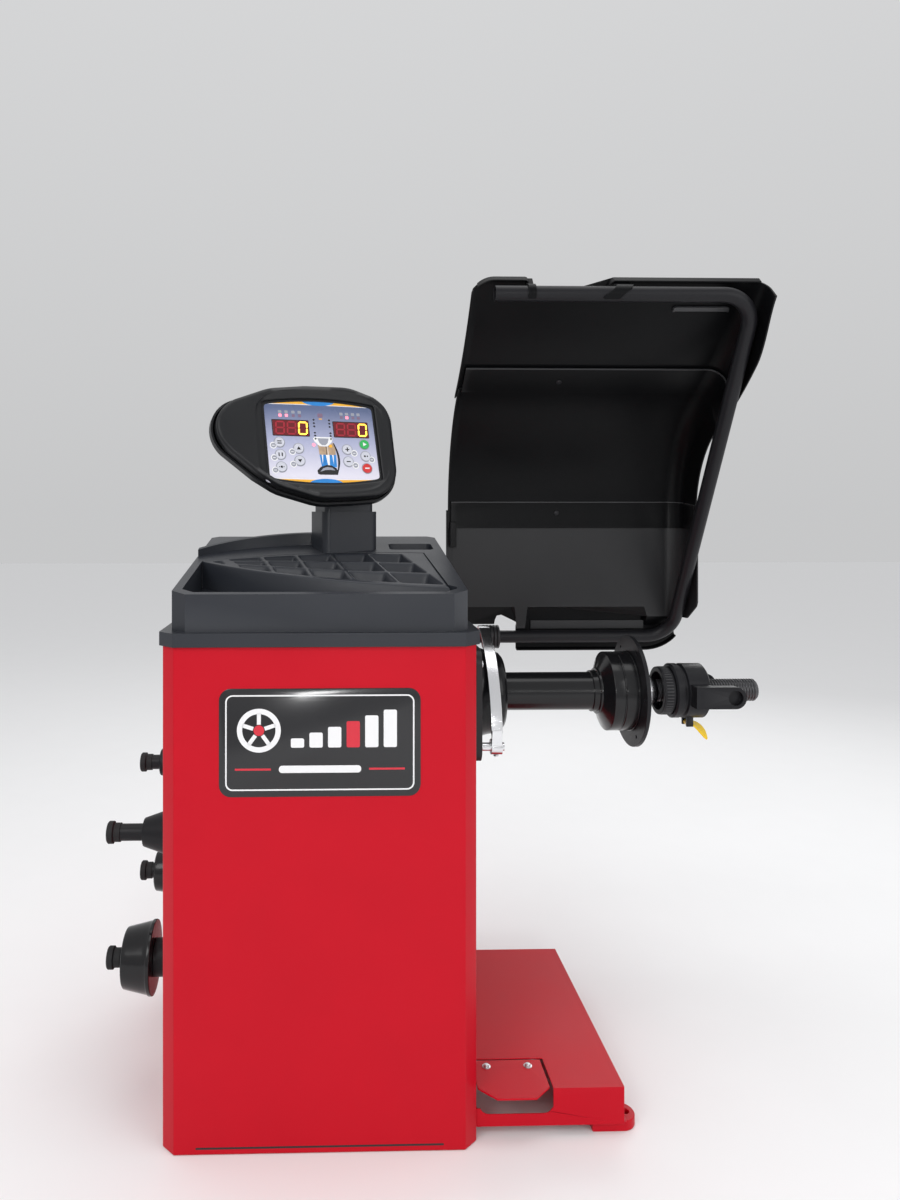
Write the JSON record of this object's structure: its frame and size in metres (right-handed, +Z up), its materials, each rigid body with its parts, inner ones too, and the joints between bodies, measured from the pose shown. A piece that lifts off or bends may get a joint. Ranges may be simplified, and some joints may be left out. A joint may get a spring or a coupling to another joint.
{
  "type": "wheel balancer machine",
  "caption": "Red cabinet wheel balancer with a horizontal threaded spindle, quick nut, swinging black hood, tilted keypad display, weight tray, rim gauge, brake pedal and cone pegs.",
  "frame": {"origin": "on the floor, in the cabinet's middle plane, under the spindle axis", "axes": "+X along the spindle away from the cabinet, +Y to the back, +Z up"},
  "size_m": [1.1655, 0.672, 1.3916],
  "materials": {
    "red_paint": "gloss",
    "zinc": "satin",
    "black_plastic": "matte",
    "tray_plastic": "satin",
    "display_plastic": "fine grain",
    "printed_panel": "gloss",
    "led_window": "gloss",
    "key_grey": "gloss",
    "key_green": "gloss",
    "key_red": "gloss",
    "black_gloss": "gloss",
    "cast_iron": "cast",
    "bearing_steel": "ground",
    "brass": "satin",
    "motor_paint": "satin",
    "aluminium": "polished",
    "rubber": "matte",
    "board_green": "matte",
    "switch_red": "gloss",
    "black_gloss_metal": "gloss black",
    "black_metal": "black oxide",
    "polished_steel": "turned",
    "shaft_steel": "dark turned thread",
    "yellow_plastic": "gloss",
    "hood_plastic": "fine grain"
  },
  "bodies": {
    "cabinet": {"cabinet_shell": "red_paint", "rear_panel": "red_paint", "panel_screws": "zinc", "side_cover": "black_plastic", "plinth": "red_paint", "anchor_lugs": "red_paint", "weight_tray": "tray_plastic", "compartment_insert": "tray_plastic", "display_post": "tray_plastic", "display_neck": "tray_plastic", "spindle_dome": "black_gloss", "spindle_housing": "cast_iron", "spindle_bearings": "bearing_steel", "support_plate": "cast_iron", "piezo_sensors": "brass", "drive_motor": "motor_paint", "drive_belt": "rubber", "control_board": "board_green", "power_inlet": "black_plastic", "pedal_pin": "zinc", "hood_bracket": "red_paint", "accessory_pegs": "black_metal", "peg_caps": "rubber"},
    "spindle": {"spindle_shaft": "bearing_steel", "flange_hub": "black_gloss_metal", "flange_disc": "black_metal", "centring_cone": "polished_steel", "threaded_shaft": "shaft_steel"},
    "motor_rotor": {"motor_pulley": "aluminium"},
    "nut_ring": {"pressure_ring": "black_metal"},
    "quick_nut": {"nut_body": "black_metal"},
    "nut_lever": {"nut_release_lever": "yellow_plastic"},
    "gauge_rod": {"gauge_rod": "aluminium"},
    "gauge_arm": {"gauge_arm": "aluminium"},
    "brake_pedal": {"brake_pedal": "red_paint"},
    "hood": {"hood_tube": "black_metal", "hood_collar": "black_plastic", "hood_lower_panel": "hood_plastic", "hood_middle_panel": "hood_plastic", "hood_top_panel": "hood_plastic"},
    "display_head": {"display_rear_shell": "display_plastic", "display_bezel": "display_plastic", "display_panel": "printed_panel", "led_readouts": "led_window"},
    "power_switch": {"main_switch": "switch_red"},
    "large_cone": {"large_cone": "black_gloss_metal", "cone_spacer": "black_metal"},
    "small_cone": {"small_cone": "black_metal"},
    "medium_cone": {"medium_cone": "black_gloss_metal"},
    "adaptor_sleeve": {"adaptor_sleeve": "black_metal"},
    "key_left_top": {"key_left_top": "key_grey"},
    "key_left_middle": {"key_left_middle": "key_grey"},
    "key_left_bottom": {"key_left_bottom": "key_grey"},
    "key_inner_left_top": {"key_inner_left_top": "key_grey"},
    "key_inner_left_bottom": {"key_inner_left_bottom": "key_grey"},
    "key_inner_right_top": {"key_inner_right_top": "key_grey"},
    "key_inner_right_bottom": {"key_inner_right_bottom": "key_grey"},
    "key_start": {"key_start": "key_green"},
    "key_right_middle": {"key_right_middle": "key_grey"},
    "key_stop": {"key_stop": "key_red"}
  },
  "joints": [
    {"name": "spindle_spin", "type": "hinge", "parent": "cabinet", "child": "spindle", "pos_m": [0.3, 0, 0.643], "axis": [1, 0, 0], "continuous": true},
    {"name": "motor_spin", "type": "hinge", "parent": "cabinet", "child": "motor_rotor", "pos_m": [0.04, 0, 0.412], "axis": [1, 0, 0], "continuous": true},
    {"name": "nut_slide", "type": "slide", "parent": "spindle", "child": "nut_ring", "axis": [1, 0, 0], "range_m": [0, 0.2]},
    {"name": "nut_turn", "type": "hinge", "parent": "nut_ring", "child": "quick_nut", "pos_m": [0.62, 0, 0.643], "axis": [1, 0, 0], "continuous": true},
    {"name": "nut_lever_squeeze", "type": "hinge", "parent": "quick_nut", "child": "nut_lever", "pos_m": [0.661, 0, 0.5845], "axis": [0, -1, 0], "range_deg": [0, 8], "stiffness_Nm_per_rad": 0.4, "springref_deg": -8.59},
    {"name": "gauge_slide", "type": "slide", "parent": "cabinet", "child": "gauge_rod", "axis": [1, 0, 0], "range_m": [0, 0.24]},
    {"name": "gauge_swing", "type": "hinge", "parent": "gauge_rod", "child": "gauge_arm", "pos_m": [0.29, -0.099, 0.57], "axis": [1, 0, 0], "range_deg": [0, 110]},
    {"name": "brake_press", "type": "hinge", "parent": "cabinet", "child": "brake_pedal", "pos_m": [0.3, -0.138, 0.054], "axis": [1, 0, 0], "range_deg": [0, 8], "stiffness_Nm_per_rad": 8, "springref_deg": -11.46},
    {"name": "hood_pivot", "type": "hinge", "parent": "cabinet", "child": "hood", "pos_m": [0.4, 0.39, 0.684], "axis": [1, 0, 0], "range_deg": [0, 35]},
    {"name": "display_tilt", "type": "hinge", "parent": "cabinet", "child": "display_head", "pos_m": [0.03936, 0.12146, 1.009], "axis": [0.9397, 0.342, 0], "range_deg": [-8, 8]},
    {"name": "power_rock", "type": "hinge", "parent": "cabinet", "child": "power_switch", "pos_m": [0.084, 0.262, 0.12], "axis": [1, 0, 0], "range_deg": [0, 16]},
    {"name": "large_cone_off", "type": "slide", "parent": "cabinet", "child": "large_cone", "axis": [-1, 0, 0], "range_m": [0, 0.13]},
    {"name": "small_cone_off", "type": "slide", "parent": "cabinet", "child": "small_cone", "axis": [-1, 0, 0], "range_m": [0, 0.13]},
    {"name": "medium_cone_off", "type": "slide", "parent": "cabinet", "child": "medium_cone", "axis": [-1, 0, 0], "range_m": [0, 0.13]},
    {"name": "adaptor_sleeve_off", "type": "slide", "parent": "cabinet", "child": "adaptor_sleeve", "axis": [-1, 0, 0], "range_m": [0, 0.13]},
    {"name": "key_left_top_press", "type": "slide", "parent": "display_head", "child": "key_left_top", "axis": [-0.3253, 0.8937, -0.309], "range_m": [0, 0.0008], "stiffness_N_per_m": 600, "springref_m": -0.0004},
    {"name": "key_left_middle_press", "type": "slide", "parent": "display_head", "child": "key_left_middle", "axis": [-0.3253, 0.8937, -0.309], "range_m": [0, 0.0008], "stiffness_N_per_m": 600, "springref_m": -0.0004},
    {"name": "key_left_bottom_press", "type": "slide", "parent": "display_head", "child": "key_left_bottom", "axis": [-0.3253, 0.8937, -0.309], "range_m": [0, 0.0008], "stiffness_N_per_m": 600, "springref_m": -0.0004},
    {"name": "key_inner_left_top_press", "type": "slide", "parent": "display_head", "child": "key_inner_left_top", "axis": [-0.3253, 0.8937, -0.309], "range_m": [0, 0.0008], "stiffness_N_per_m": 600, "springref_m": -0.0004},
    {"name": "key_inner_left_bottom_press", "type": "slide", "parent": "display_head", "child": "key_inner_left_bottom", "axis": [-0.3253, 0.8937, -0.309], "range_m": [0, 0.0008], "stiffness_N_per_m": 600, "springref_m": -0.0004},
    {"name": "key_inner_right_top_press", "type": "slide", "parent": "display_head", "child": "key_inner_right_top", "axis": [-0.3253, 0.8937, -0.309], "range_m": [0, 0.0008], "stiffness_N_per_m": 600, "springref_m": -0.0004},
    {"name": "key_inner_right_bottom_press", "type": "slide", "parent": "display_head", "child": "key_inner_right_bottom", "axis": [-0.3253, 0.8937, -0.309], "range_m": [0, 0.0008], "stiffness_N_per_m": 600, "springref_m": -0.0004},
    {"name": "key_start_press", "type": "slide", "parent": "display_head", "child": "key_start", "axis": [-0.3253, 0.8937, -0.309], "range_m": [0, 0.0008], "stiffness_N_per_m": 600, "springref_m": -0.0004},
    {"name": "key_right_middle_press", "type": "slide", "parent": "display_head", "child": "key_right_middle", "axis": [-0.3253, 0.8937, -0.309], "range_m": [0, 0.0008], "stiffness_N_per_m": 600, "springref_m": -0.0004},
    {"name": "key_stop_press", "type": "slide", "parent": "display_head", "child": "key_stop", "axis": [-0.3253, 0.8937, -0.309], "range_m": [0, 0.0008], "stiffness_N_per_m": 600, "springref_m": -0.0004}
  ],
  "couplings": [
    {"joint": "motor_spin", "follows": "spindle_spin", "ratio": 2.7778}
  ]
}
